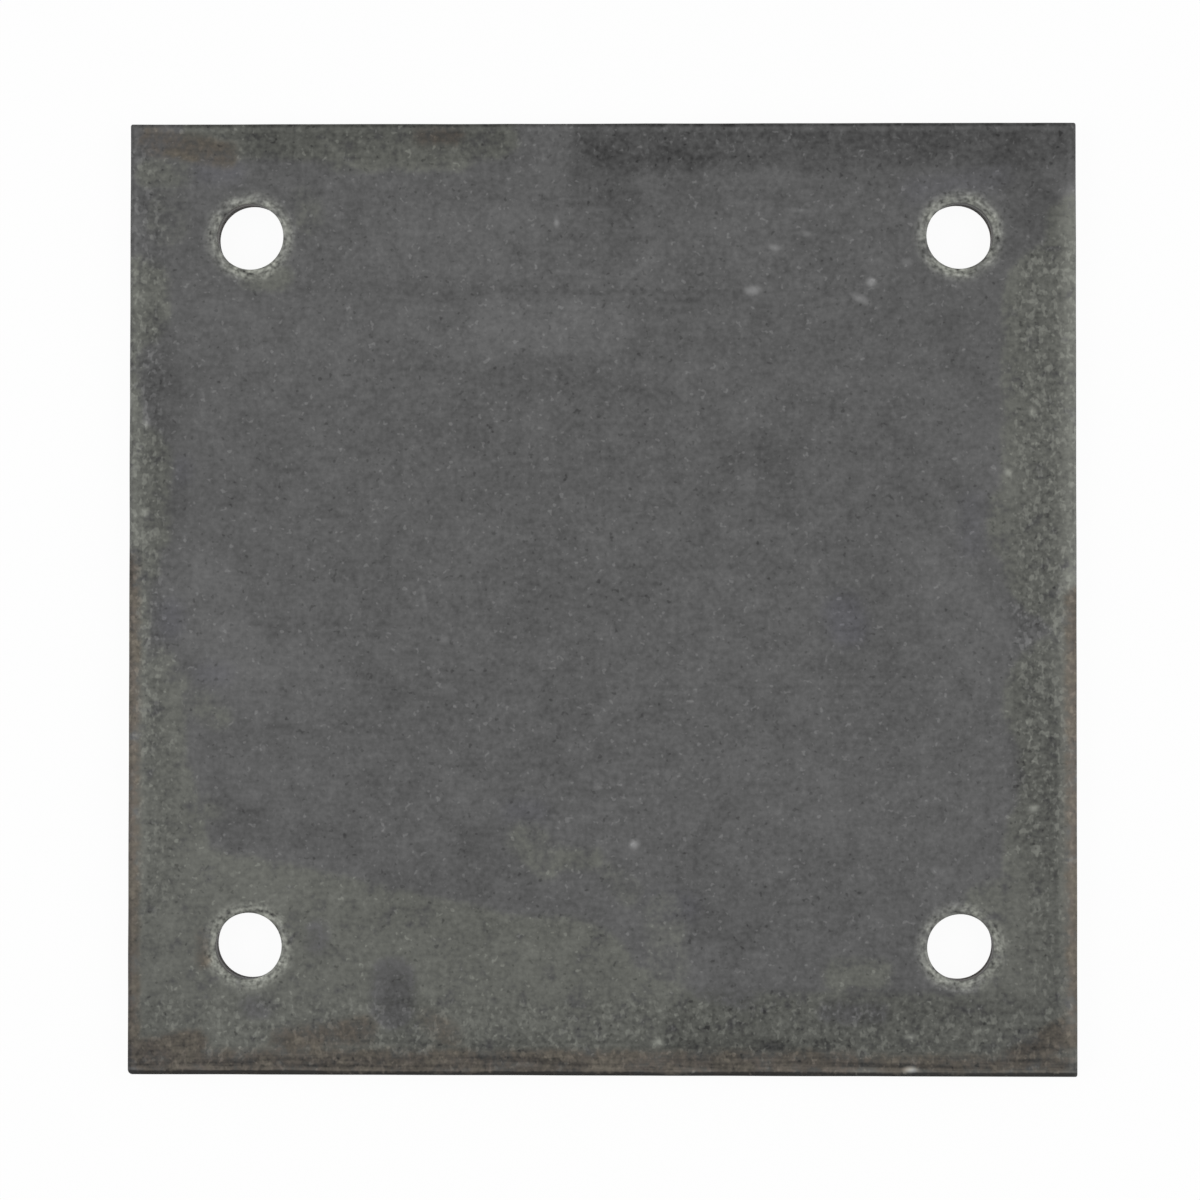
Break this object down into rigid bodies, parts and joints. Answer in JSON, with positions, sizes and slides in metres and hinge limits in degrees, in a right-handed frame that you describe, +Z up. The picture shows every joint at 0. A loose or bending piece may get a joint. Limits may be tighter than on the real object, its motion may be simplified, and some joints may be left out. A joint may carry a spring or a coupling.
{
  "type": "rectangular cover plate",
  "caption": "Flat, nearly square steel plate with a punched bolt hole near each corner, for covering an opening or spreading a load.",
  "frame": {"origin": "on the underside, at the middle of the plate's outline", "axes": "+Z up through the thickness and out of the struck face, the one the holes were punched from; +X along the 200 mm width, to the picture's right; +Y along the 201 mm length, to the picture's top"},
  "size_m": [0.2, 0.201, 0.006],
  "materials": {
    "mill_steel": "matte"
  },
  "bodies": {
    "root": {"cover_plate": "mill_steel"}
  },
  "joints": []
}
